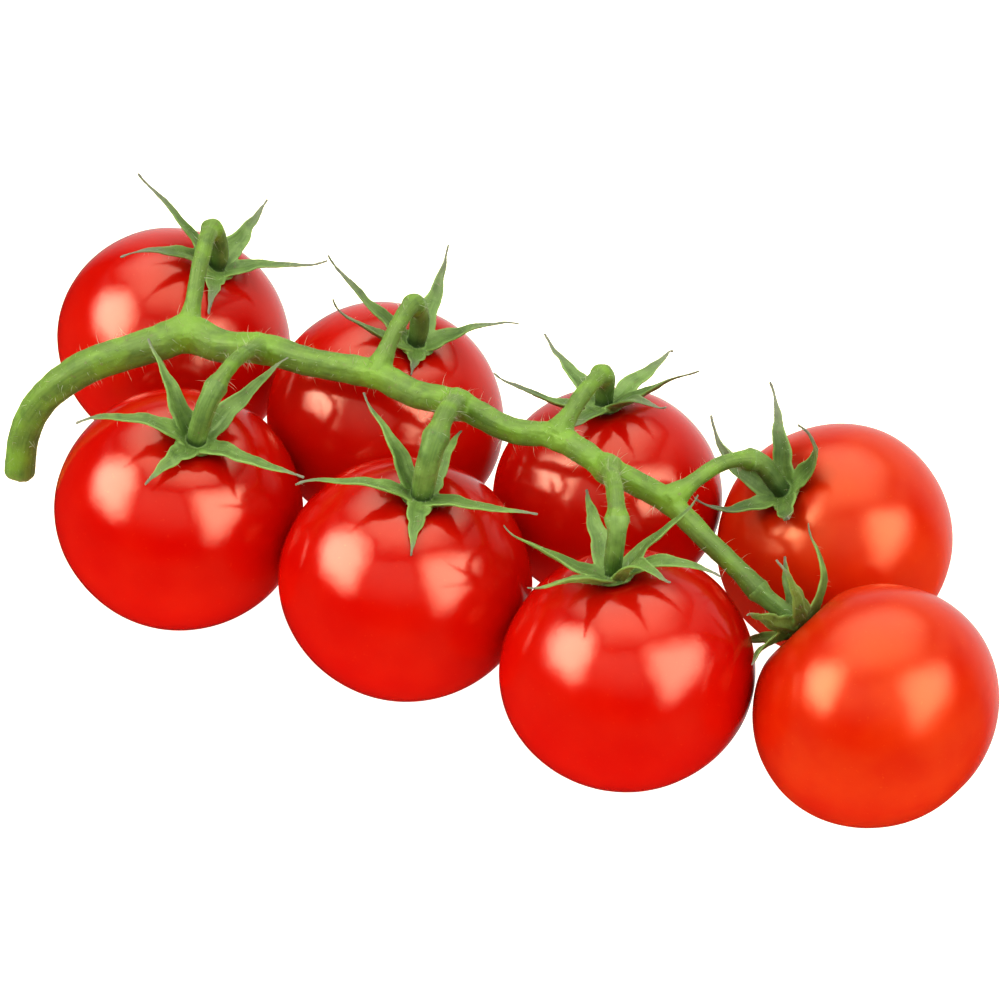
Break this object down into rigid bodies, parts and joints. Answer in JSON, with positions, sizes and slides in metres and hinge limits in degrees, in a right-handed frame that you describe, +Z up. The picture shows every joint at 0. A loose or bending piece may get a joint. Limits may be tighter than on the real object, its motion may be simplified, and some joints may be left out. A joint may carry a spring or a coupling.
{
  "type": "truss of tomatoes",
  "caption": "Truss of small round tomatoes in two rows on one green stem, each fruit with a star of narrow sepals and a stalk with a swollen knuckle.",
  "frame": {"origin": "middle of the truss's footprint, on the surface that the tomatoes rest on", "axes": "+X along the two rows, from the stem's cut end to the last tomato; +Y from the front row to the back row; +Z up"},
  "size_m": [0.1476, 0.0716, 0.0414],
  "materials": {
    "tomato_skin": "glossy ripe red skin",
    "tomato_skin_orange": "glossy orange-red skin",
    "stem": "matt, finely hairy green",
    "calyx": "matt, finely hairy dark green"
  },
  "bodies": {
    "root": {"stem": "stem", "calyx_1": "calyx", "calyx_2": "calyx", "calyx_3": "calyx", "calyx_4": "calyx", "calyx_5": "calyx", "calyx_6": "calyx", "calyx_7": "calyx", "calyx_8": "calyx", "tomato_1": "tomato_skin", "tomato_2": "tomato_skin", "tomato_3": "tomato_skin", "tomato_4": "tomato_skin", "tomato_5": "tomato_skin", "tomato_6": "tomato_skin", "tomato_7": "tomato_skin_orange", "tomato_8": "tomato_skin_orange"}
  },
  "joints": []
}
